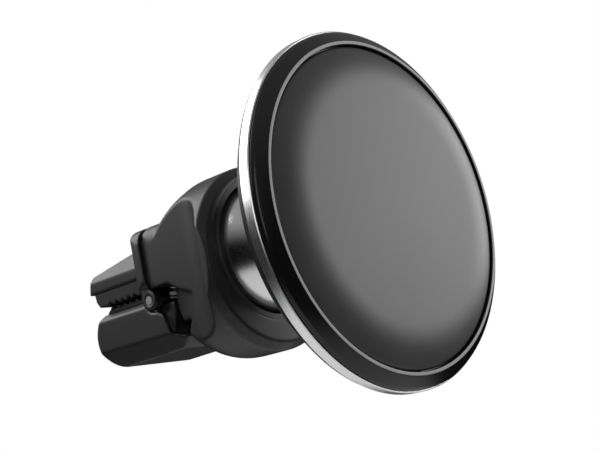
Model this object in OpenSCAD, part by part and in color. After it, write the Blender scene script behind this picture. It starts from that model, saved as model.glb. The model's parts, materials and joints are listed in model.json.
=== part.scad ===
// Car phone mount: a magnetic head on a ball joint, carried by a clip that bites one blade of an air vent.
// Y runs along the mount: the head faces -Y and the clip's jaws point +Y. Z is up.
// The origin is the middle of the line where the two jaws meet.

/* [Head] */
// Outer diameter of the head, over its metal ring
head_d = 44; // [38:1:56]
// Height of the metal ring along the axis
ring_h = 1.4; // [1:0.1:2.4]
// Wall of the metal ring
ring_wall = 0.9; // [0.6:0.1:1.2]
// Height of the back cover's rim behind the ring
rim_h = 0.5; // [0.3:0.1:1]
// How far the bezel's lip stands ahead of the metal ring
shoulder_h = 1.4; // [1:0.1:2.4]
// Width of the bezel's sloping shoulder
shoulder_w = 1.6; // [1.2:0.1:2.4]
// Width of the bezel's flat lip
lip_w = 0.6; // [0.4:0.1:1]
// How far the pad stands ahead of the lip
pad_proud = 0.8; // [0.4:0.1:1.2]
// Edge rounding of the pad
pad_round = 1.2; // [0.6:0.1:1.3]
// Thickness of the adhesive film under the pad
film_t = 0.2; // [0.1:0.05:0.3]
// Thickness of the bezel's front wall
front_wall = 0.7; // [0.5:0.1:1]
// Depth of the back cover's bowl behind the rim
bowl_depth = 2.7; // [2.4:0.1:4]
// Wall of the back cover
cover_wall = 1.1; // [0.8:0.1:1.6]

/* [Magnets] */
// Number of magnets
magnet_count = 6; // [4:1:8]
// Diameter of each magnet
magnet_d = 9; // [6:0.5:10]
// Thickness of each magnet
magnet_t = 1.8; // [1:0.1:2]
// Radius of the circle of magnets
magnet_circle_r = 12.5; // [11.5:0.1:13]
// Thickness of the steel plate behind the magnets
yoke_t = 0.7; // [0.5:0.1:1]

/* [Ball joint] */
// Diameter of the ball
ball_d = 17; // [15:0.5:18]
// Distance from the ball's centre to the ring's front edge
head_reach = 20.8; // [19:0.1:26]
// Diameter of the ball's neck
stud_d = 9; // [7:0.5:10]
// Diameter of the ball's solid middle
core_d = 8; // [6:0.5:9]
// Gap between the ball and its socket
ball_gap = 0.1; // [0.05:0.01:0.2]
// Distance from the socket's mouth to the ball's centre
mouth_depth = 1.9; // [1.5:0.1:3]
// How far the socket's mouth stands clear of the ball's widest circle
mouth_gap = 0.25; // [0.2:0.05:0.5]
// Rim of the socket ring around the mouth
ring_rim = 0.5; // [0.4:0.1:0.8]
// Radius of the friction seat behind the ball
seat_r = 6.4; // [5:0.1:6.6]
// Thickness of the friction seat's floor
seat_floor = 0.7; // [0.6:0.1:1]
// Thickness of the spring washer behind the seat
washer_t = 0.4; // [0.3:0.1:0.6]

/* [Housing] */
// Distance from the jaws' meeting line to the ball's centre, along Y
ball_back = 22; // [22:0.1:26]
// Height of the ball's centre over the jaws' meeting line
axis_z = 2; // [1.6:0.1:2.4]
// Radius of the two wings round the socket
wing_r = 12.2; // [12:0.1:14]
// How far the middle of the wings sits below the ball's centre
wing_drop = 1.2; // [0.4:0.1:1.4]
// Half width of the housing at the socket's mouth
mouth_half_w = 11.4; // [11:0.1:12.5]
// Length of the flare from the neck to the mouth
flare_len = 7.4; // [7:0.1:8]
// Width of the neck
neck_w = 16; // [16:0.1:18]
// Height of the top of the neck over the jaws' meeting line
neck_top = 8.6; // [8.4:0.1:9.6]
// Height of the underside of the neck over the jaws' meeting line
neck_bottom = 0.2; // [0.2:0.1:0.6]
// Rounding of the neck's edges
neck_round = 2.4; // [1.5:0.1:3]
// Distance from the jaws' meeting line to the neck's back end, along Y
neck_end = 8.4; // [8.2:0.1:8.8]
// Thickness of the gasket between the neck and the jaw block
gasket_t = 0.6; // [0.4:0.1:1]

/* [Jaws] */
// Width of the jaws
jaw_w = 14; // [12:0.5:15]
// Length of the jaws' bite
jaw_len = 11; // [9:0.1:14]
// Thickness of the jaw block behind the gasket
block_t = 2; // [1.9:0.1:3]
// Height of the upper jaw at its root
jaw_root_z = 7; // [6.6:0.1:7.6]
// Height of the upper jaw at its tip
jaw_tip_z = 4.6; // [4:0.1:5]
// Thickness of the upper grip pad
grip_t = 2; // [1.6:0.1:2.4]
// Thickness of the lower grip pad
low_grip_t = 0.9; // [0.6:0.1:1.2]
// Half of the gap between the closed grip pads
bite_gap = 0.1; // [0.05:0.01:0.2]
// Depth of the lower jaw's tail below the jaws' meeting line
tail_depth = 8.7; // [8:0.1:9.6]
// Radius of the grooves across the grip pads
groove_r = 0.35; // [0.2:0.05:0.4]

/* [Hinge] */
// Diameter of the hinge pin
pin_d = 1.2; // [1:0.1:1.4]
// Running gap round the hinge pin
pin_gap = 0.04; // [0.02:0.01:0.08]
// Radius of the hinge's ears and barrel
ear_r = 1.35; // [1.2:0.05:1.4]
// Thickness of each ear
ear_t = 1.3; // [1:0.1:1.6]
// How far the lower jaw turns open, in degrees
open_a = 18; // [12:1:18]
// Gap between moving faces at the hinge
side_gap = 0.2; // [0.1:0.05:0.3]

/* [Springs and screws] */
// Mean radius of the jaw springs
spring_r = 0.8; // [0.7:0.05:0.85]
// Wire diameter of the jaw springs
spring_wire = 0.3; // [0.25:0.01:0.35]
// Turns of each jaw spring
spring_turns = 3; // [2:1:4]
// Diameter of the spring pins
spring_pin_d = 0.8; // [0.6:0.1:0.9]
// Shank diameter of the neck screws
neck_screw_d = 2; // [1.6:0.1:2.2]
// Shank diameter of the screws under the pad
cover_screw_d = 1.6; // [1.4:0.1:1.8]
// Shank diameter of the screw that holds the ball
ball_screw_d = 4; // [3:0.5:4]

/* [Hidden] */

$fn = 96;
hair = 0.02;            // gap between pieces that seat on each other
cut = 0.5;              // how far a cutting shape runs past a face

// Head, measured ahead of the ball's centre (t grows towards the phone)
head_r = head_d / 2;
ring_front_t = head_reach;
ring_back_t = ring_front_t - ring_h;
rim_back_t = ring_back_t - rim_h;
lip_t = ring_front_t + shoulder_h;
lip_out_r = head_r - shoulder_w;
lip_in_r = lip_out_r - lip_w;
pad_gap = 0.1;          // between the pad and the lip round it
pad_r = lip_in_r - pad_gap;
pad_t = lip_t + pad_proud;
recess = 0.3;           // the bezel's front wall stands this far ahead of the metal ring's front
wall_front_t = ring_front_t + recess;
wall_back_t = wall_front_t - front_wall;
film_front_t = wall_front_t + film_t + hair;
skirt_out_r = head_r - ring_wall - hair;
skirt_wall = 0.8;       // wall of the bezel's skirt inside the metal ring
skirt_in_r = skirt_out_r - skirt_wall;
magnet_front_t = wall_back_t - hair;
magnet_back_t = magnet_front_t - magnet_t;
yoke_front_t = magnet_back_t - hair;
yoke_back_t = yoke_front_t - yoke_t;
magnet_r = min(magnet_d / 2, magnet_circle_r * sin(180 / magnet_count) - 0.2);
yoke_r = min(magnet_circle_r + magnet_r + 0.2, skirt_in_r - 2.5);
floor_t = yoke_back_t - hair;
cover_back_t = min(rim_back_t - bowl_depth, floor_t - cover_wall);
boss_r = stud_d / 2 + 2.5;
cover_screw_circle_r = skirt_in_r - 1.5;
cover_screw_head_r = cover_screw_d * 0.9;
cover_screw_head_t = 0.3;
cover_screw_sink = 0.35; // depth of the screws' seats in the bezel's front wall
ball_screw_head_r = ball_screw_d * 0.8;
ball_screw_head_t = 0.9;
ball_screw_grip = 2;     // the ball's thread starts this far ahead of its solid middle

// Ball and socket
ball_r = ball_d / 2;
socket_r = ball_r + ball_gap;
ball_y = -ball_back;
mouth_y = ball_y - mouth_depth;
core_r = core_d / 2;
seat_start = sqrt(socket_r * socket_r - seat_r * seat_r);
seat_end = socket_r + seat_floor;
washer_end = seat_end + washer_t + hair;
mouth_r = socket_r + mouth_gap;
ring_out_r = mouth_r + ring_rim;
ring_back_depth = 0.2;  // the socket ring ends this far ahead of the ball's centre

// Housing
neck_half = neck_w / 2;
neck_y = -neck_end;
gasket_y = neck_y + gasket_t;
flare_y = mouth_y + flare_len;
flare_start_y = ball_y - 0.2;
band = 1.3;             // length of the narrowing at the ends of the neck and the jaw block
band_in = 0.4;          // how far that band narrows on each side
wing_z = axis_z - wing_drop;
wing_bevel = 1;         // bevel round the front of the wings
wing_start = 2.8;       // the wings keep their full radius to this far behind the ball's centre
throat_y = ball_y + washer_end;
bell_wall = 0.8;        // wall behind the spring washer
bell_back_t = -washer_end - bell_wall;
bell_back_y = ball_y - bell_back_t;
neck_screw_x = 3;
neck_screw_z = axis_z + 3.2;
neck_screw_head_r = neck_screw_d * 0.85;
neck_screw_head_t = 1.2;
neck_screw_grip = 3.6;   // how far the neck screws reach into the jaw block
neck_screw_len = gasket_y - throat_y + neck_screw_grip;
spring_pin_hold = 1.4;

// Jaws and hinge
block_y = gasket_y + block_t;
jaw_half = jaw_w / 2;
jaw_tip_y = block_y + jaw_len;
grip_y0 = block_y + 0.5;
grip_y1 = jaw_tip_y - 1;
hinge_y = gasket_y + 0.25;
hinge_z = neck_bottom - ear_r - 0.05;
pin_r = pin_d / 2;
ear_x1 = neck_half - 0.4;
ear_x0 = ear_x1 - ear_t;
barrel_half = 3.2;
arm_z = hinge_z - 0.8;   // top of the arm that the springs push down
arm_t = 1.2;
spring_y = hinge_y - 2.3;
spring_x = barrel_half + spring_r + 0.7;
arm_front_y = spring_y - spring_r - 0.1;
low_top_z = -bite_gap - low_grip_t;
toe_room_z = axis_z - seat_r - 0.6;       // the housing is hollow below this height, for the toe
toe_reach = tail_depth + hinge_z + 0.4;   // reach of the lower jaw's toe from the hinge
// Where the corner under the arm sits from the hinge when the jaw is fully open
open_y = bell_back_y + 0.2 - hinge_y;
open_z = toe_room_z - 0.1 - hinge_z;
// The same corner with the jaw closed
corner_y = hinge_y + open_y * cos(open_a) - open_z * sin(open_a);
corner_z = hinge_z + open_y * sin(open_a) + open_z * cos(open_a);

// Puts a profile of [radius, distance ahead of the ball's centre] round the head's axis
module turned() {
    translate([0, ball_y, axis_z])
        rotate([90, 0, 0])
            rotate_extrude()
                children();
}

// Puts children modelled along +Z on the head's axis, with z = 0 at the ball's centre
module on_axis() {
    translate([0, ball_y, axis_z])
        rotate([90, 0, 0])
            children();
}

// Draws a side outline of [y, z] points across a width, centred on X
module across(width) {
    translate([-width / 2, 0, 0])
        rotate([90, 0, 90])
            linear_extrude(width)
                children();
}

// Draws an outline of [x, z] points along Y from y0 to y1
module along(y0, y1) {
    translate([0, y1, 0])
        rotate([90, 0, 0])
            linear_extrude(y1 - y0)
                children();
}

// Repeats children on both sides of the middle plane
module both_sides() {
    for (side = [0, 1])
        mirror([side, 0, 0])
            children();
}

// A box given by its lowest and highest corners
module block(low, high) {
    translate(low)
        cube(high - low);
}

// Right-hand [x, z] points followed by their mirror images in reverse order
function mirrored(points) = concat(points, [for (i = [len(points) - 1:-1:0]) [-points[i][0], points[i][1]]]);

// Points on an arc, from one angle to another
function arc(centre, r, from, to, steps) =
    [for (i = [0:steps]) let (a = from + (to - from) * i / steps)
        [centre[0] + r * cos(a), centre[1] + r * sin(a)]];

module front_pad() {
    color("#3a3a3c")
        turned()
            polygon(concat(
                [[0, film_front_t], [pad_r, film_front_t]],
                arc([pad_r - pad_round, pad_t - pad_round], pad_round, 0, 90, 12),
                [[0, pad_t]]
            ));
}

module pad_adhesive() {
    color("#c9c4b4")
        turned()
            translate([0, wall_front_t])
                square([pad_r - 0.8, film_t]);
}

module front_bezel() {
    color("#101012")
        difference() {
            turned()
                polygon(concat(
                    [[0, wall_back_t], [skirt_in_r, wall_back_t], [skirt_in_r, ring_back_t + hair],
                     [skirt_out_r, ring_back_t + hair], [skirt_out_r, ring_front_t + hair],
                     [head_r - 0.1, ring_front_t + hair]],
                    arc([lip_out_r, ring_front_t + 0.3], shoulder_h - 0.3, 0, 90, 10),
                    [[lip_in_r, lip_t], [lip_in_r, wall_front_t], [0, wall_front_t]]
                ));
            cover_screw_places()
                translate([0, 0, wall_back_t - cut])
                    cylinder(h = front_wall + 2 * cut, r = cover_screw_d / 2 + 0.1);
            cover_screw_places()
                translate([0, 0, wall_front_t - cover_screw_sink])
                    cylinder(h = 1, r = cover_screw_head_r + 0.1);
        }
}

module metal_ring() {
    bevel = 0.25;
    color("#e6e6e8")
        turned()
            polygon([
                [head_r - ring_wall, ring_back_t], [head_r - bevel, ring_back_t],
                [head_r, ring_back_t + bevel], [head_r, ring_front_t - bevel],
                [head_r - bevel, ring_front_t], [head_r - ring_wall, ring_front_t]
            ]);
}

module magnets() {
    color("#b8bcc0")
        on_axis()
            for (i = [0:magnet_count - 1])
                rotate(i * 360 / magnet_count)
                    translate([magnet_circle_r, 0, magnet_back_t])
                        cylinder(h = magnet_t, r = magnet_r);
}

module yoke_plate() {
    color("#8d9196")
        turned()
            translate([ball_screw_d / 2 + 0.1, yoke_back_t])
                square([yoke_r - ball_screw_d / 2 - 0.1, yoke_t]);
}

module cover_screw_places() {
    on_axis()
        for (i = [0:2])
            rotate(90 + i * 120)
                translate([cover_screw_circle_r, 0, 0])
                    children();
}

module back_cover() {
    color("#141416")
        difference() {
            turned()
                polygon([
                    [0, cover_back_t], [boss_r, cover_back_t], [boss_r + 1, cover_back_t + 0.3],
                    [head_r - 2.6, rim_back_t - 1.4], [head_r - 0.5, rim_back_t], [head_r - 0.2, rim_back_t + 0.3],
                    [head_r - 0.2, ring_back_t - hair], [skirt_in_r - hair, ring_back_t - hair],
                    [skirt_in_r - hair, ring_back_t + 0.5], [yoke_r + 0.1, ring_back_t + 0.5],
                    [yoke_r + 0.1, floor_t], [0, floor_t]
                ]);
            on_axis()
                translate([0, 0, cover_back_t - cut])
                    cylinder(h = floor_t - cover_back_t + 2 * cut, r = ball_screw_d / 2 + 0.1);
            cover_screw_places()
                translate([0, 0, rim_back_t + 0.1])
                    cylinder(h = 5, r = cover_screw_d / 2 + hair);
        }
}

module cover_screws() {
    tip_t = rim_back_t + 0.2;
    slot_w = 0.35;
    color("#9a9da1")
        cover_screw_places() {
            translate([0, 0, tip_t])
                cylinder(h = wall_front_t - 0.3 - tip_t, r = cover_screw_d / 2);
            difference() {
                translate([0, 0, wall_front_t - cover_screw_sink + hair])
                    cylinder(h = cover_screw_head_t, r = cover_screw_head_r);
                translate([0, 0, wall_front_t - 0.2])
                    cube([slot_w, 2 * cover_screw_d, 0.3], center = true);
            }
        }
}

module ball_screw() {
    socket_af = 2.5;
    color("#9a9da1")
        on_axis() {
            difference() {
                translate([0, 0, yoke_front_t + hair])
                    cylinder(h = ball_screw_head_t, r = ball_screw_head_r);
                translate([0, 0, yoke_front_t + 0.4])
                    cylinder(h = 2, r = socket_af / 2, $fn = 6);
            }
            translate([0, 0, core_r + ball_screw_grip])
                cylinder(h = yoke_front_t + 0.2 - core_r - ball_screw_grip, r = ball_screw_d / 2);
        }
}

module ball() {
    neck_fillet = 2;
    seat_t = cover_back_t - hair;
    color("#d5d7da")
        difference() {
            union() {
                on_axis()
                    sphere(ball_r);
                turned()
                    polygon(concat(
                        [[0, 0], [stud_d / 2, ball_r * 0.6]],
                        arc([stud_d / 2 + neck_fillet, seat_t - neck_fillet], neck_fillet, 180, 90, 8),
                        [[0, seat_t]]
                    ));
            }
            on_axis() {
                sphere(core_r + 0.05);
                translate([0, 0, core_r + ball_screw_grip - 0.2])
                    cylinder(h = head_reach, r = ball_screw_d / 2 + hair);
            }
        }
}

module ball_core() {
    color("#8d9196")
        on_axis()
            sphere(core_r);
}

// The round bell with its two wings, before the sides are trimmed
module bell() {
    translate([0, 0, -wing_drop])
        turned()
            polygon(concat(
                [[0, mouth_depth], [wing_r - wing_bevel, mouth_depth], [wing_r, mouth_depth - wing_bevel]],
                arc([wing_r - 6.5, -ball_r * 0.45], 6.5, 0, -58, 8),
                [[wing_r - 5, bell_back_t], [0, bell_back_t]]
            ));
}

// The dome that runs from the wings back to the top of the neck
module dome() {
    run = neck_y - ball_y - wing_start;
    drop = wing_r - neck_top + wing_z;
    r = (run * run + drop * drop) / (2 * drop);
    translate([0, 0, -wing_drop])
        turned()
            polygon(concat(
                [[0, mouth_depth], [wing_r - wing_bevel, mouth_depth], [wing_r, mouth_depth - wing_bevel]],
                arc([wing_r - r, -wing_start], r, 0, -asin(run / r), 12),
                [[0, ball_y - neck_y]]
            ));
}

// Plan outline that trims the bell's sides: a hollow flare from the mouth, then a panel back to half_end
module flare_plan(half_end) {
    run = flare_y - flare_start_y;
    in = mouth_half_w - 0.5 - neck_half;
    r = (in * in + run * run) / (2 * in);
    linear_extrude(60, center = true)
        both_sides()
            polygon(concat(
                [[-0.1, mouth_y - cut], [mouth_half_w, mouth_y - cut], [mouth_half_w, flare_start_y - 0.3]],
                arc([neck_half + r, flare_y], r, 180 + asin(run / r), 180, 10),
                [[half_end, bell_back_y], [half_end, neck_y - band], [half_end - band_in, neck_y],
                 [-0.1, neck_y]]
            ));
}

// Section of the neck and the jaw block
module neck_section(top) {
    polygon(concat(
        arc([-neck_half + neck_round / 2, neck_bottom + neck_round / 2], neck_round / 2, 180, 270, 6),
        arc([neck_half - neck_round / 2, neck_bottom + neck_round / 2], neck_round / 2, 270, 360, 6),
        arc([neck_half - neck_round, top - neck_round], neck_round, 0, 90, 8),
        arc([-neck_half + neck_round, top - neck_round], neck_round, 90, 180, 8)
    ));
}

// Side outline of the panels on the housing's sides: their lower edge drops towards the mouth
module panel_side() {
    top = wing_r + axis_z;
    across(4 * wing_r)
        polygon([
            [neck_y, top], [neck_y, neck_bottom], [ball_y + 10, neck_bottom], [ball_y + 8, neck_bottom - 1.2],
            [ball_y + 4.8, neck_bottom - 2.4], [ball_y + 3.6, neck_bottom - 3.4],
            [mouth_y - 1, neck_bottom - 5], [mouth_y - 1, top]
        ]);
}

module socket_housing() {
    color("#161618")
        difference() {
            union() {
                intersection() {
                    bell();
                    flare_plan(neck_half - 1.8);
                }
                intersection() {
                    dome();
                    flare_plan(neck_half);
                    panel_side();
                }
                intersection() {
                    along(ball_y, neck_y)
                        neck_section(neck_top);
                    flare_plan(neck_half);
                }
            }
            // room for the lower jaw's toe
            intersection() {
                hinge_bore(toe_reach + 0.3);
                block([-neck_w, ball_y, -tail_depth - 5], [neck_w, neck_y + 1, toe_room_z]);
            }
            // socket for the ball, its seat and the spring washer
            on_axis() {
                sphere(socket_r);
                translate([0, 0, ring_back_depth])
                    cylinder(h = mouth_depth + cut, r = ring_out_r + hair);
                translate([0, 0, -washer_end])
                    cylinder(h = washer_end, r = seat_r + hair);
            }
            // neck screws and spring pins
            neck_screw_places() {
                translate([0, 0, -neck_screw_head_t - hair])
                    cylinder(h = neck_screw_head_t + 1, r = neck_screw_head_r + hair);
                neck_screw_hole();
            }
            spring_pin_places()
                cylinder(h = spring_pin_hold + hair, r = spring_pin_d / 2 + hair);
        }
}

module neck_screw_places() {
    both_sides()
        translate([neck_screw_x, throat_y, neck_screw_z])
            rotate([90, 0, 0])
                children();
}

module neck_screw_hole() {
    depth = neck_screw_len + 0.2;
    translate([0, 0, -depth])
        cylinder(h = depth, r = neck_screw_d / 2 + hair);
}

module spring_pin_places() {
    both_sides()
        translate([spring_x, spring_y, neck_bottom])
            children();
}

module socket_ring() {
    color("#4a4a4d")
        difference() {
            turned()
                polygon([
                    [mouth_r, mouth_depth], [ring_out_r, mouth_depth], [ring_out_r, ring_back_depth + hair],
                    [ball_r - 0.9, ring_back_depth + hair], [ball_r - 0.9, mouth_depth - 0.4]
                ]);
            on_axis()
                sphere(socket_r);
        }
}

module ball_seat() {
    color("#e8e4d8")
        on_axis()
            difference() {
                translate([0, 0, -seat_end])
                    cylinder(h = seat_end - seat_start, r = seat_r);
                sphere(socket_r);
            }
}

module spring_washer() {
    color("#a9adb2")
        turned()
            translate([2.2, -washer_end + hair])
                square([seat_r - 2.4, washer_t]);
}

module neck_screws() {
    color("#9a9da1")
        neck_screw_places() {
            translate([0, 0, -neck_screw_head_t])
                difference() {
                    cylinder(h = neck_screw_head_t - hair, r = neck_screw_head_r);
                    translate([0, 0, 0.6])
                        cylinder(h = 2, r = neck_screw_d * 0.45, $fn = 6);
                }
            translate([0, 0, -neck_screw_len])
                cylinder(h = neck_screw_len - neck_screw_head_t + 0.1, r = neck_screw_d / 2);
        }
}

module neck_gasket() {
    inset = 0.5;
    color("#050505")
        difference() {
            along(neck_y + hair, gasket_y - hair)
                translate([0, (neck_top + neck_bottom) / 2])
                    scale(1 - 2 * inset / neck_w)
                        translate([0, -(neck_top + neck_bottom) / 2])
                            neck_section(neck_top);
            neck_screw_places()
                neck_screw_hole();
        }
}

module jaw_block() {
    color("#161618")
        difference() {
            union() {
                intersection() {
                    along(gasket_y, block_y)
                        neck_section(neck_top);
                    linear_extrude(4 * neck_top, center = true)
                        polygon([
                            [-neck_half, gasket_y], [neck_half, gasket_y], [neck_half, block_y - band],
                            [neck_half - band_in, block_y], [band_in - neck_half, block_y],
                            [-neck_half, block_y - band]
                        ]);
                }
                intersection() {
                    across(jaw_w)
                        polygon([
                            [block_y - 1, grip_t + bite_gap], [jaw_tip_y, grip_t + bite_gap],
                            [jaw_tip_y - 0.6, jaw_tip_z], [block_y - 1, jaw_root_z]
                        ]);
                    along(block_y - 1, jaw_tip_y)
                        polygon([
                            [-jaw_half, 0], [jaw_half, 0], [jaw_half, jaw_tip_z - 0.8],
                            [jaw_half - 2.4, jaw_root_z], [-jaw_half + 2.4, jaw_root_z],
                            [-jaw_half, jaw_tip_z - 0.8]
                        ]);
                }
                both_sides()
                    across_from(ear_x0, ear_x1) {
                        translate([hinge_y, hinge_z])
                            circle(ear_r);
                        translate([gasket_y, hinge_z])
                            square([hinge_y + ear_r - gasket_y, neck_bottom + 1.2 - hinge_z]);
                    }
            }
            neck_screw_places()
                neck_screw_hole();
            hinge_bore(pin_r);
        }
}

// Draws a side outline of [y, z] points from x0 to x1
module across_from(x0, x1) {
    translate([x0, 0, 0])
        rotate([90, 0, 90])
            linear_extrude(x1 - x0)
                children();
}

module hinge_bore(r) {
    translate([0, hinge_y, hinge_z])
        rotate([0, 90, 0])
            cylinder(h = neck_w + 2, r = r, center = true);
}

// Round grooves across a grip pad, at height z
module grip_grooves(z) {
    count = 5;
    step = (grip_y1 - 1.6 - grip_y0) / (count + 1);
    for (i = [1:count])
        translate([0, grip_y0 + i * step, z])
            rotate([0, 90, 0])
                cylinder(h = jaw_w + 2, r = groove_r, center = true, $fn = 24);
}

module upper_grip() {
    color("#0a0a0a")
        difference() {
            across(jaw_w - 0.4)
                polygon([
                    [grip_y0, bite_gap], [grip_y1 - 0.6, bite_gap], [grip_y1, bite_gap + 0.8],
                    [grip_y1 + 0.2, grip_t + bite_gap - hair], [grip_y0, grip_t + bite_gap - hair]
                ]);
            grip_grooves(bite_gap);
        }
}

module lower_grip() {
    color("#0a0a0a")
        difference() {
            across(jaw_w - 2)
                polygon([
                    [grip_y0, low_top_z + hair], [grip_y0, -bite_gap], [grip_y1 - 2, -bite_gap],
                    [grip_y1 - 1, low_top_z + hair]
                ]);
            grip_grooves(-bite_gap);
        }
}

module hinge_pin() {
    color("#9a9da1")
        translate([0, hinge_y, hinge_z])
            rotate([0, 90, 0])
                cylinder(h = 2 * ear_x1, r = pin_r - hair / 2, center = true);
}

module spring_pins() {
    reach = neck_bottom - arm_z - 1.1;
    color("#c8cacd")
        spring_pin_places()
            translate([0, 0, -reach])
                cylinder(h = reach + spring_pin_hold, r = spring_pin_d / 2);
}

// A helix of round wire, swept ring by ring
module coil(r, wire, height, turns) {
    sides = 6;
    per_turn = 16;
    steps = turns * per_turn;
    points = [for (i = [0:steps]) let (a = i * 360 / per_turn, z = wire / 2 + (height - wire) * i / steps)
        for (j = [0:sides - 1]) let (b = j * 360 / sides, q = r + wire / 2 * cos(b))
            [q * cos(a), q * sin(a), z + wire / 2 * sin(b)]];
    walls = [for (i = [0:steps - 1]) for (j = [0:sides - 1]) let (k = (j + 1) % sides)
        [i * sides + j, i * sides + k, (i + 1) * sides + k, (i + 1) * sides + j]];
    polyhedron(points, concat([for (w = walls) [w[3], w[2], w[1], w[0]]],
        [[for (j = [0:sides - 1]) j], [for (j = [sides - 1:-1:0]) steps * sides + j]]));
}

module jaw_springs() {
    height = neck_bottom - arm_z - 2 * hair;
    color("#a9adb2")
        spring_pin_places()
            translate([0, 0, -height - hair])
                coil(spring_r, spring_wire, height, spring_turns);
}

// Side outline of the lower jaw's boot-shaped tail
module tail_side() {
    r = (tail_depth - bite_gap) / 2;
    toe_a = asin(-open_z / toe_reach) + open_a;
    heel_a = asin((tail_depth + hinge_z - 0.3) / toe_reach);
    polygon(concat(
        [[hinge_y, hinge_z - ear_r + 0.2], [hinge_y + 1, hinge_z], [block_y + 0.2, low_top_z]],
        arc([jaw_tip_y - r, r - tail_depth], r, asin((low_top_z + tail_depth - r) / r), -90, 14),
        arc([hinge_y, hinge_z], toe_reach, 180 + heel_a, 180 + toe_a, 8),
        [[corner_y, corner_z], [hinge_y - 1.6, hinge_z - ear_r - 1]]
    ));
}

// Section of the tail, narrower at its top and bottom
module tail_section() {
    polygon(mirrored([
        [jaw_half - 1.1, neck_bottom], [jaw_half - 1.1, low_top_z + 0.3], [jaw_half, low_top_z - 0.8],
        [jaw_half, -tail_depth * 0.7], [jaw_half - 1.4, -tail_depth - 0.1]
    ]));
}

module lower_jaw() {
    color("#121214")
        difference() {
            union() {
                intersection() {
                    across(jaw_w)
                        tail_side();
                    along(ball_y, jaw_tip_y + 1)
                        tail_section();
                }
                across(2 * barrel_half) {
                    translate([hinge_y, hinge_z])
                        circle(ear_r);
                    translate([hinge_y, hinge_z - ear_r])
                        square([3, ear_r]);
                }
                across(2 * (ear_x0 - side_gap))
                    polygon([
                        [arm_front_y, arm_z], [hinge_y + 0.4, arm_z], [hinge_y + 0.4, corner_z],
                        [corner_y, corner_z], [arm_front_y, arm_z - arm_t]
                    ]);
            }
            hinge_bore(pin_r + pin_gap);
            // room for the ears
            both_sides()
                across_from(ear_x0 - side_gap, neck_half + 1)
                    translate([hinge_y, hinge_z])
                        circle(ear_r + 0.3);
        }
}

front_pad();
pad_adhesive();
front_bezel();
metal_ring();
magnets();
yoke_plate();
back_cover();
cover_screws();
ball_screw();
ball();
ball_core();
socket_housing();
socket_ring();
ball_seat();
spring_washer();
neck_screws();
neck_gasket();
jaw_block();
upper_grip();
hinge_pin();
spring_pins();
jaw_springs();
lower_jaw();
lower_grip();
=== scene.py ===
"""Car phone mount: a padded magnetic head on a ball joint and a sprung clip for an air vent blade."""
import json
import math

import bmesh
import bpy
from mathutils import Matrix, Vector


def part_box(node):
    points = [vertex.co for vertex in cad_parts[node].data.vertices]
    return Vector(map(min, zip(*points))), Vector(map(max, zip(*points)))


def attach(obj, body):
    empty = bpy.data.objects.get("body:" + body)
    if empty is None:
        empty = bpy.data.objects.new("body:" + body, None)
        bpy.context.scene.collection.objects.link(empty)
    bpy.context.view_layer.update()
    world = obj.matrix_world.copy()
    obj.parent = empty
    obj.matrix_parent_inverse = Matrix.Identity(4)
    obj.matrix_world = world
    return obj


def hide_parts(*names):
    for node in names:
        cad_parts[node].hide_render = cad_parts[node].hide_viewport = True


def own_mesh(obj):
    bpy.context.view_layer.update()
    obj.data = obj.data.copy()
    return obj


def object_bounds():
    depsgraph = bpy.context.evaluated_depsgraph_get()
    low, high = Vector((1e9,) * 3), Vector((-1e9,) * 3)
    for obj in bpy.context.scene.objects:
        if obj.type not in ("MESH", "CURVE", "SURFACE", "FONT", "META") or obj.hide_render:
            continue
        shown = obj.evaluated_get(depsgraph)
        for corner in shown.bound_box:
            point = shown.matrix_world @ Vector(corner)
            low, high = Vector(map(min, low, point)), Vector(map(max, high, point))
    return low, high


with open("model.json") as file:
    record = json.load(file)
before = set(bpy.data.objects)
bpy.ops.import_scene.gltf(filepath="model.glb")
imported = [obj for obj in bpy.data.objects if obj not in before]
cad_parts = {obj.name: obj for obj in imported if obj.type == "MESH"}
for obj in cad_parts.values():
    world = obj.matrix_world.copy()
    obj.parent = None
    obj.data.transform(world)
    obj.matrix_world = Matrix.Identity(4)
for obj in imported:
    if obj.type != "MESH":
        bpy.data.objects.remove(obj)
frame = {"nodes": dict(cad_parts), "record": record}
cad_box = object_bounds()

MM = 0.001
TURN_STEPS = 240        # facets round a turned piece
FILLET_STEPS = 6        # points on each rounded corner of a profile
SHARP = math.radians(35)

# ---- sizes taken from the frame -------------------------------------------------------------

ring_low, ring_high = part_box("metal_ring")
HEAD_R = (ring_high.x - ring_low.x) / 2
AXIS_Z = (ring_high.z + ring_low.z) / 2
RING_FRONT = ring_low.y
RING_BACK = ring_high.y
PAD_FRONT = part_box("front_pad")[0].y
PAD_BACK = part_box("front_pad")[1].y
PAD_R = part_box("front_pad")[1].x
LIP_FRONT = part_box("front_bezel")[0].y
SKIRT_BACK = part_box("front_bezel")[1].y
COVER_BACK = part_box("back_cover")[1].y
BALL_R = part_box("ball")[1].x
BALL_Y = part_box("ball")[1].y - BALL_R
MOUTH_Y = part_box("socket_ring")[0].y
SOCKET_RING_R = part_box("socket_ring")[1].x
SOCKET_RING_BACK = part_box("socket_ring")[1].y
CENTRE = (Vector(cad_box[0]) + Vector(cad_box[1])) / 2


# ---- shader expressions ---------------------------------------------------------------------

class Wire:
    """A node's output that can be used in a Python expression."""

    def __init__(self, shader, socket):
        self.shader = shader
        self.socket = socket

    def maths(self, operation, *others):
        return self.shader.maths(operation, self, *others)

    def __add__(self, other):
        return self.maths("ADD", other)

    def __sub__(self, other):
        return self.maths("SUBTRACT", other)

    def __mul__(self, other):
        return self.maths("MULTIPLY", other)

    def __rsub__(self, other):
        return self.shader.maths("SUBTRACT", other, self)

    __radd__ = __add__
    __rmul__ = __mul__


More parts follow.
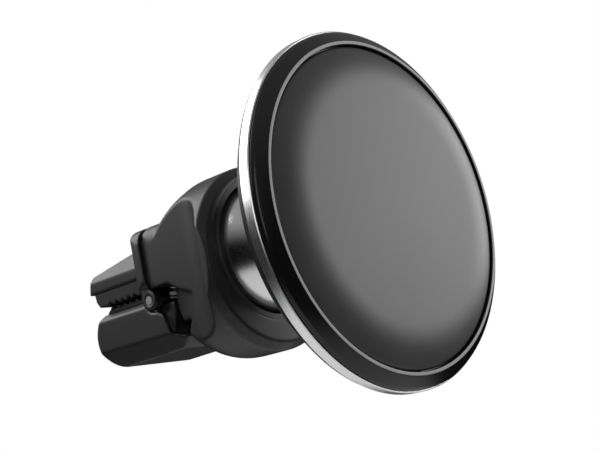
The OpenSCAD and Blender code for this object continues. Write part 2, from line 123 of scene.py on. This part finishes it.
class Shader:
    """Builds the nodes of one material or of the world."""

    def __init__(self, tree):
        self.tree = tree
        tree.nodes.clear()

    def node(self, kind, settings=None, inputs=None):
        made = self.tree.nodes.new(kind)
        for key, value in (settings or {}).items():
            setattr(made, key, value)
        for key, value in (inputs or {}).items():
            if isinstance(value, Wire):
                self.tree.links.new(value.socket, made.inputs[key])
            else:
                made.inputs[key].default_value = value
        return made

    def out(self, made, name):
        return Wire(self, made.outputs[name])

    def maths(self, operation, *values):
        made = self.node("ShaderNodeMath", {"operation": operation}, dict(enumerate(values)))
        return Wire(self, made.outputs[0])

    def split(self, vector):
        parts = self.node("ShaderNodeSeparateXYZ", inputs={0: vector})
        return [Wire(self, parts.outputs[i]) for i in range(3)]

    def place(self):
        return self.out(self.node("ShaderNodeTexCoord"), "Object")

    def noise(self, vector, size, detail=2.0):
        made = self.node(
            "ShaderNodeTexNoise", {"noise_dimensions": "3D"},
            {"Vector": vector, "Scale": 1 / size, "Detail": detail, "Roughness": 0.55},
        )
        return self.out(made, "Fac")

    def ramp(self, value, low, high, start=0.0, end=1.0):
        made = self.node(
            "ShaderNodeMapRange", {"interpolation_type": "SMOOTHSTEP", "clamp": True},
            {"Value": value, "From Min": low, "From Max": high, "To Min": start, "To Max": end},
        )
        return self.out(made, "Result")

    def mix(self, factor, first, second):
        made = self.node(
            "ShaderNodeMix", {"data_type": "RGBA", "clamp_factor": True},
            {0: factor, 6: first, 7: second},
        )
        return Wire(self, made.outputs[2])

    def bump(self, height, strength, distance):
        inputs = {"Height": height, "Strength": strength, "Distance": distance}
        return self.out(self.node("ShaderNodeBump", inputs=inputs), "Normal")


def grey(level, blue=0.0):
    return (level, level, level * (1 + blue), 1.0)


def surface(name, build, **constants):
    """A material with one Principled BSDF; build returns its varying inputs."""
    material = bpy.data.materials.new(name)
    material.use_nodes = True
    shader = Shader(material.node_tree)
    inputs = dict(constants)
    inputs.update(build(shader))
    body = shader.node("ShaderNodeBsdfPrincipled", inputs=inputs)
    shader.node("ShaderNodeOutputMaterial", inputs={"Surface": shader.out(body, "BSDF")})
    return material


def turned_coordinates(s):
    """Distance from the head's axis and distance along it."""
    x, y, z = s.split(s.place())
    up = z - AXIS_Z
    return s.maths("SQRT", x * x + up * up), y


# ---- finishes -------------------------------------------------------------------------------

def pad_rubber(s):
    place = s.place()
    grain = s.noise(place, 0.12 * MM, 3)
    cloud = s.noise(place, 9 * MM, 2)
    return {
        "Base Color": s.mix(s.ramp(cloud, 0.35, 0.65), grey(0.044, 0.03), grey(0.05, 0.03)),
        "Roughness": 0.36 + cloud * 0.06 + grain * 0.04,
        "Normal": s.bump(grain, 0.12, 0.01 * MM),
    }


def gloss_black(s):
    place = s.place()
    cloud = s.noise(place, 6 * MM, 3)
    dust = s.ramp(s.noise(place, 0.25 * MM, 1), 0.68, 0.74)
    return {
        "Base Color": s.mix(dust, grey(0.006), grey(0.009)),
        "Roughness": 0.16 + cloud * 0.06 + dust * 0.04,
        "Normal": s.bump(s.noise(place, 0.3 * MM), 0.02, 0.01 * MM),
    }


def turning_lines(s, along, pitch):
    """Fine lines that a lathe tool leaves, at a height along the axis."""
    x, y, z = s.split(s.place())
    made = s.node("ShaderNodeCombineXYZ", inputs={0: x * 0.02, 1: along, 2: z * 0.02})
    return s.noise(s.out(made, "Vector"), pitch, 4)


def polished_metal(s):
    radius, along = turned_coordinates(s)
    lines = turning_lines(s, along + radius, 0.06 * MM)
    cloud = s.noise(s.place(), 5 * MM, 2)
    return {
        "Base Color": s.mix(cloud, grey(0.86, 0.01), grey(0.92, 0.01)),
        "Roughness": 0.2 + lines * 0.12 + cloud * 0.04,
        "Normal": s.bump(lines, 0.12, 0.01 * MM),
    }


def ball_metal(s):
    radius, along = turned_coordinates(s)
    lines = turning_lines(s, along * 2, 0.08 * MM)
    cloud = s.noise(s.place(), 4 * MM, 2)
    return {
        "Base Color": s.mix(cloud, grey(0.78, 0.01), grey(0.86, 0.01)),
        "Roughness": 0.15 + lines * 0.1 + cloud * 0.04,
        "Normal": s.bump(lines, 0.25, 0.01 * MM),
    }


def satin_black(s):
    place = s.place()
    grain = s.noise(place, 0.16 * MM, 3)
    cloud = s.noise(place, 5 * MM, 3)
    edge = s.out(s.node("ShaderNodeNewGeometry"), "Pointiness")
    # painted highlight: convex edges (high pointiness) get a lighter colour and slightly lower roughness,
    # standing in for light caught on the bevels
    painted_edge_highlight = s.ramp(edge, 0.53, 0.6)
    return {
        "Base Color": s.mix(painted_edge_highlight * 0.5, grey(0.010, 0.04), grey(0.028, 0.04)),
        "Roughness": 0.36 + cloud * 0.08 + grain * 0.05 - painted_edge_highlight * 0.05,
        "Normal": s.bump(grain, 0.15, 0.01 * MM),
    }


def grey_plastic(s):
    place = s.place()
    grain = s.noise(place, 0.14 * MM, 3)
    return {
        "Base Color": s.mix(s.noise(place, 3 * MM), grey(0.022, 0.03), grey(0.03, 0.03)),
        "Roughness": 0.34 + grain * 0.1,
        "Normal": s.bump(grain, 0.15, 0.01 * MM),
    }


def grip_rubber(s):
    place = s.place()
    grain = s.noise(place, 0.1 * MM, 4)
    dust = s.ramp(s.noise(place, 1.4 * MM, 3), 0.5, 0.75)
    return {
        "Base Color": s.mix(dust, grey(0.006), grey(0.012)),
        "Roughness": 0.6 + grain * 0.2,
        "Normal": s.bump(grain, 0.4, 0.02 * MM),
    }


def plain_steel(s):
    place = s.place()
    grain = s.noise(place, 0.2 * MM, 3)
    return {
        "Base Color": s.mix(s.noise(place, 2 * MM), grey(0.45), grey(0.6)),
        "Roughness": 0.28 + grain * 0.15,
        "Normal": s.bump(grain, 0.1, 0.01 * MM),
    }


def soft_white(s):
    grain = s.noise(s.place(), 0.3 * MM, 3)
    return {
        "Base Color": s.mix(grain, (0.62, 0.59, 0.5, 1), (0.7, 0.67, 0.58, 1)),
        "Roughness": 0.45 + grain * 0.1,
    }


FINISHES = {
    "pad_rubber": surface("pad_rubber", pad_rubber, **{"Specular IOR Level": 0.5}),
    "adhesive": surface("adhesive", soft_white),
    "gloss_black": surface("gloss_black", gloss_black),
    "polished_metal": surface("polished_metal", polished_metal, Metallic=1.0),
    "magnet_nickel": surface("magnet_nickel", plain_steel, Metallic=1.0),
    "plain_steel": surface("plain_steel", plain_steel, Metallic=1.0),
    "satin_black": surface("satin_black", satin_black),
    "ball_metal": surface("ball_metal", ball_metal, Metallic=1.0),
    "grey_plastic": surface("grey_plastic", grey_plastic),
    "seat_plastic": surface("seat_plastic", soft_white),
    "spring_steel": surface("spring_steel", plain_steel, Metallic=1.0),
    "grip_rubber": surface("grip_rubber", grip_rubber),
}


# ---- mesh tools -----------------------------------------------------------------------------

def rounded(points):
    """A profile whose corners (x, y, radius) become arcs."""
    outline = []
    for i, corner in enumerate(points):
        here = Vector(corner[:2])
        radius = corner[2] if len(corner) > 2 else 0
        before = Vector(points[i - 1][:2]) - here
        after = Vector(points[(i + 1) % len(points)][:2]) - here
        if not radius:
            outline.append(here)
            continue
        half = before.angle(after) / 2
        reach = radius / math.tan(half)
        start = before.normalized() * reach
        end = after.normalized() * reach
        centre = (before.normalized() + after.normalized()).normalized() * (radius / math.sin(half))
        for step in range(FILLET_STEPS + 1):
            mixed = start.lerp(end, step / FILLET_STEPS) - centre
            outline.append(here + centre + mixed.normalized() * radius)
    return outline


def mark_sharp(bm):
    for face in bm.faces:
        face.smooth = True
    for edge in bm.edges:
        edge.smooth = len(edge.link_faces) == 2 and edge.calc_face_angle() < SHARP


def add_piece(name, bm, body, slot, *replaced):
    """Turns a finished bmesh into a piece that rides on a body and stands for CAD nodes."""
    mark_sharp(bm)
    mesh = bpy.data.meshes.new(name)
    bm.to_mesh(mesh)
    bm.free()
    mesh.materials.append(FINISHES[slot])
    piece = bpy.data.objects.new(name, mesh)
    bpy.context.scene.collection.objects.link(piece)
    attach(piece, body)
    if replaced:
        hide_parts(*replaced)
    return piece


def lathe(profile, closed=True):
    """Turns a (radius, y) profile round the head's axis."""
    bm = bmesh.new()
    chain = [bm.verts.new((point[0], point[1], AXIS_Z)) for point in profile]
    pairs = list(zip(chain, chain[1:]))
    if closed:
        pairs.append((chain[-1], chain[0]))
    edges = [bm.edges.new(pair) for pair in pairs]
    bmesh.ops.spin(
        bm, geom=chain + edges, cent=(0, 0, AXIS_Z), axis=(0, 1, 0),
        angle=2 * math.pi, steps=TURN_STEPS, use_merge=True,
    )
    bmesh.ops.remove_doubles(bm, verts=bm.verts, dist=0.0001 * MM)
    bmesh.ops.recalc_face_normals(bm, faces=bm.faces)
    return bm


def softened(node, voxel, passes):
    """A copy of a CAD node with its edges eased."""
    bm = bmesh.new()
    bm.from_mesh(frame["nodes"][node].data)
    bmesh.ops.remove_doubles(bm, verts=bm.verts, dist=0.001 * MM)
    mesh = bpy.data.meshes.new(node + "_draft")
    bm.to_mesh(mesh)
    draft = bpy.data.objects.new(node + "_draft", mesh)
    bpy.context.scene.collection.objects.link(draft)
    remesh = draft.modifiers.new("remesh", "REMESH")
    remesh.mode = "VOXEL"
    remesh.voxel_size = voxel
    ease = draft.modifiers.new("ease", "SMOOTH")
    ease.factor = 0.5
    ease.iterations = passes
    bpy.context.view_layer.update()
    finished = bpy.data.meshes.new_from_object(draft.evaluated_get(bpy.context.evaluated_depsgraph_get()))
    bm.clear()
    bm.from_mesh(finished)
    bpy.data.objects.remove(draft)
    bpy.data.meshes.remove(mesh)
    bpy.data.meshes.remove(finished)
    return bm


# ---- head -----------------------------------------------------------------------------------

def front_pad():
    flat_r = 14.2 * MM
    edge_r = PAD_R - 0.25 * MM
    drop = 1.0 * MM
    steps = 24
    crown = []
    for i in range(steps + 1):
        u = i / steps
        crown.append((flat_r + (edge_r - flat_r) * u, PAD_FRONT + drop * u ** 2.4))
    profile = [(0, PAD_FRONT), (flat_r / 2, PAD_FRONT)] + crown + [
        (PAD_R - 0.08 * MM, PAD_FRONT + drop + 0.2 * MM),
        (PAD_R, PAD_FRONT + drop + 0.5 * MM),
        (PAD_R, PAD_BACK),
        (0, PAD_BACK),
    ]
    add_piece("silicone_pad", lathe(profile), "head", "pad_rubber", "front_pad")


def front_bezel():
    lip_out = HEAD_R - 1.7 * MM
    lip_in = HEAD_R - 2.2 * MM
    wall_front = RING_FRONT - 0.3 * MM
    profile = rounded([
        (0, wall_front),
        (lip_in, wall_front),
        (lip_in, LIP_FRONT, 0.12 * MM),
        (lip_out, LIP_FRONT, 0.15 * MM),
        (HEAD_R - 0.45 * MM, RING_FRONT - 0.55 * MM, 0.7 * MM),
        (HEAD_R - 0.12 * MM, RING_FRONT - 0.1 * MM, 0.1 * MM),
        (HEAD_R - 0.9 * MM, RING_FRONT),
        (HEAD_R - 1.0 * MM, SKIRT_BACK),
        (HEAD_R - 1.7 * MM, SKIRT_BACK),
        (HEAD_R - 1.7 * MM, wall_front + 0.7 * MM),
        (0, wall_front + 0.7 * MM),
    ])
    add_piece("gloss_bezel", lathe(profile), "head", "gloss_black", "front_bezel")


def metal_ring():
    wall = 0.9 * MM
    profile = rounded([
        (HEAD_R - wall, RING_FRONT),
        (HEAD_R - 0.12 * MM, RING_FRONT, 0.03 * MM),
        (HEAD_R, RING_FRONT + 0.12 * MM, 0.04 * MM),
        (HEAD_R, RING_BACK - 0.15 * MM, 0.04 * MM),
        (HEAD_R - 0.15 * MM, RING_BACK, 0.03 * MM),
        (HEAD_R - wall, RING_BACK),
    ])
    add_piece("trim_ring", lathe(profile), "head", "polished_metal", "metal_ring")


def back_cover():
    boss_r = 7 * MM
    inner_r = HEAD_R - 1.75 * MM
    profile = rounded([
        (2.1 * MM, COVER_BACK),
        (boss_r, COVER_BACK, 0.4 * MM),
        (boss_r + 1 * MM, COVER_BACK - 0.35 * MM, 0.4 * MM),
        (HEAD_R - 2.6 * MM, RING_BACK + 1.9 * MM, 2.5 * MM),
        (HEAD_R - 0.3 * MM, RING_BACK + 0.45 * MM, 0.3 * MM),
        (HEAD_R - 0.15 * MM, RING_BACK + 0.05 * MM, 0.05 * MM),
        (inner_r, RING_BACK),
        (inner_r, COVER_BACK - 1.1 * MM),
        (2.1 * MM, COVER_BACK - 1.1 * MM),
    ])
    add_piece("rear_cover", lathe(profile), "head", "satin_black", "back_cover")


# ---- ball and socket ------------------------------------------------------------------------

def ball():
    neck_r = 4.5 * MM
    join = math.asin(neck_r / BALL_R)
    steps = 48
    profile = []
    for i in range(steps + 1):
        angle = join + (math.pi - join) * (1 - i / steps)
        profile.append((BALL_R * math.sin(angle), BALL_Y - BALL_R * math.cos(angle)))
    collar_y = COVER_BACK + 0.02 * MM
    fillet = 2 * MM
    for i in range(9):
        angle = math.radians(90 * i / 8)
        out, back = 1 - math.cos(angle), 1 - math.sin(angle)
        profile.append((neck_r + fillet * out, collar_y + fillet * back))
    profile.append((0, collar_y))
    add_piece("ball_stud", lathe(profile, closed=False), "ball_stud", "ball_metal", "ball")


def socket_ring():
    profile = rounded([
        (BALL_R + 0.12 * MM, MOUTH_Y + 0.9 * MM),
        (BALL_R + 0.5 * MM, MOUTH_Y + 0.12 * MM, 0.1 * MM),
        (BALL_R + 0.95 * MM, MOUTH_Y, 0.08 * MM),
        (SOCKET_RING_R, MOUTH_Y, 0.15 * MM),
        (SOCKET_RING_R, SOCKET_RING_BACK),
        (BALL_R + 0.12 * MM, SOCKET_RING_BACK),
    ])
    add_piece("socket_trim", lathe(profile), "clip", "grey_plastic", "socket_ring")


# ---- clip -----------------------------------------------------------------------------------

def clip():
    """Pieces of the clip: name, CAD node, body, slot, voxel size in mm, smoothing passes."""
    for name, node, body, slot, voxel, passes in (
        ("socket_shell", "socket_housing", "clip", "satin_black", 0.2, 5),
        ("jaw_body", "jaw_block", "clip", "satin_black", 0.15, 4),
        ("boot_jaw", "lower_jaw", "lower_jaw", "satin_black", 0.16, 5),
        ("upper_pad", "upper_grip", "clip", "grip_rubber", 0.12, 3),
        ("lower_pad", "lower_grip", "lower_jaw", "grip_rubber", 0.12, 3),
    ):
        add_piece(name, softened(node, voxel * MM, passes), body, slot, node)


def jaw_springs():
    """Two coil springs."""
    low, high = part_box("jaw_springs")
    wire_r = 0.15 * MM
    coil_r = (high.y - low.y) / 2 - wire_r
    middle_y = (high.y + low.y) / 2
    length = high.z - low.z - 2 * wire_r
    turns, per_turn, sides = 3.5, 40, 12
    end_ease = 0.35     # how much closer the coils lie at both ends
    bm = bmesh.new()
    for side in (-1, 1):
        middle_x = side * (high.x - wire_r - coil_r)
        before = None
        steps = round(turns * per_turn)
        for i in range(steps + 1):
            u = i / steps
            turn = side * 2 * math.pi * turns * u
            climb = u + end_ease * math.sin(2 * math.pi * u) / math.pi
            hub = Vector((middle_x, middle_y, low.z + wire_r + length * climb))
            out = Vector((math.cos(turn), math.sin(turn), 0))
            loop = []
            for j in range(sides):
                angle = 2 * math.pi * j / sides
                reach = coil_r + wire_r * math.cos(angle)
                rise = wire_r * math.sin(angle)
                loop.append(bm.verts.new(hub + out * reach + Vector((0, 0, rise))))
            if before:
                for j in range(sides):
                    k = (j + 1) % sides
                    bm.faces.new((before[j], before[k], loop[k], loop[j]))
            else:
                bm.faces.new(loop)
            before = loop
        bm.faces.new(before)
    bmesh.ops.recalc_face_normals(bm, faces=bm.faces)
    piece = add_piece("coil_springs", bm, "clip", "spring_steel", "jaw_springs")
    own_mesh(piece)


def finish_cad_nodes():
    """Gives every CAD node the material of its slot."""
    for part in frame["record"]["subparts"]:
        node = frame["nodes"][part["node"]]
        node.data.materials.clear()
        node.data.materials.append(FINISHES[part["material_slot"]])


# ---- studio ---------------------------------------------------------------------------------

def direction(azimuth, elevation):
    """Unit vector: azimuth 0 is in front of the head, elevation is above the horizon."""
    a = math.radians(azimuth)
    e = math.radians(elevation)
    return Vector((math.sin(a) * math.cos(e), -math.cos(a) * math.cos(e), math.sin(e)))


def softbox(name, azimuth, elevation, distance, width, height, power):
    lamp = bpy.data.lights.new(name, "AREA")
    lamp.shape = "RECTANGLE"
    lamp.size = width
    lamp.size_y = height
    lamp.energy = power
    box = bpy.data.objects.new(name, lamp)
    bpy.context.scene.collection.objects.link(box)
    away = direction(azimuth, elevation)
    turn = away.to_track_quat("Z", "Y").to_matrix().to_4x4()
    box.matrix_world = Matrix.Translation(CENTRE + away * distance) @ turn


def studio_floor():
    drop = 0.3
    size = 4.0
    bm = bmesh.new()
    bmesh.ops.create_circle(bm, cap_ends=True, segments=96, radius=size)
    bmesh.ops.translate(bm, vec=(0, 0, cad_box[0][2] - drop), verts=bm.verts)
    mesh = bpy.data.meshes.new("floor")
    bm.to_mesh(mesh)
    bm.free()
    floor = bpy.data.objects.new("floor", mesh)
    bpy.context.scene.collection.objects.link(floor)
    mesh.materials.append(floor_finish())


def floor_finish():
    """Pale and matt near the object, fading into the white background; dark far off for glossy rays."""
    material = bpy.data.materials.new("floor")
    material.use_nodes = True
    s = Shader(material.node_tree)
    x, y, z = s.split(s.place())
    away = s.maths("SQRT", x * x + y * y)
    rays = s.node("ShaderNodeLightPath")
    pale = s.node("ShaderNodeBsdfDiffuse", inputs={"Color": grey(0.8)})
    white = s.node("ShaderNodeEmission", inputs={"Color": grey(1.0)})
    black = s.node("ShaderNodeEmission", inputs={"Color": grey(0.0)})
    fade = s.ramp(away, 0.5, 2.0) * s.out(rays, "Is Camera Ray")
    dark = s.ramp(away, 0.35, 0.6) * s.out(rays, "Is Glossy Ray")
    near = s.node("ShaderNodeMixShader", inputs={0: fade, 1: s.out(pale, 0), 2: s.out(white, 0)})
    both = s.node("ShaderNodeMixShader", inputs={0: dark, 1: s.out(near, 0), 2: s.out(black, 0)})
    s.node("ShaderNodeOutputMaterial", inputs={"Surface": s.out(both, 0)})
    return material


def studio_world():
    world = bpy.data.worlds.new("studio")
    bpy.context.scene.world = world
    world.use_nodes = True
    s = Shader(world.node_tree)
    x, y, z = s.split(s.out(s.node("ShaderNodeTexCoord"), "Generated"))
    rays = s.node("ShaderNodeLightPath")
    seen = s.out(rays, "Is Camera Ray")
    shiny = s.maths("MAXIMUM", s.out(rays, "Is Glossy Ray"), s.out(rays, "Is Transmission Ray"))
    pale = s.ramp(z, 0.1, 0.8)
    strength = seen + (1 - seen) * (shiny * pale * 0.3 + (1 - shiny) * 0.3)
    back = s.node("ShaderNodeBackground", inputs={"Color": grey(1.0), "Strength": strength})
    s.node("ShaderNodeOutputWorld", inputs={"Surface": s.out(back, "Background")})


def studio_camera():
    lens = 74.05
    azimuth, elevation, roll = math.radians(-48.66), math.radians(-9.54), math.radians(-11.1)
    distance = 146.57 * MM
    aim = Vector((-6.03 * MM, RING_FRONT + 8.02 * MM, AXIS_Z))
    data = bpy.data.cameras.new("camera")
    data.lens = lens
    data.sensor_width = 36
    data.clip_start = 0.01
    camera = bpy.data.objects.new("camera", data)
    bpy.context.scene.collection.objects.link(camera)
    turn = (
        Matrix.Rotation(azimuth, 4, "Z")
        @ Matrix.Rotation(math.pi / 2 - elevation, 4, "X")
        @ Matrix.Rotation(roll, 4, "Z")
    )
    back = turn.to_3x3() @ Vector((0, 0, 1))
    camera.matrix_world = Matrix.Translation(aim + back * distance) @ turn
    bpy.context.scene.camera = camera


studio_camera()
studio_floor()
studio_world()
softbox("back_left_box", -152, 38, 0.6, 0.6, 0.45, 3.2)
softbox("right_box", 64, 11, 0.7, 0.6, 0.32, 2.6)
softbox("left_card", -40, 12, 0.8, 0.3, 0.4, 0.5)
bpy.context.scene.view_settings.view_transform = "Standard"

finish_cad_nodes()
front_pad()
front_bezel()
metal_ring()
back_cover()
ball()
socket_ring()
clip()
jaw_springs()
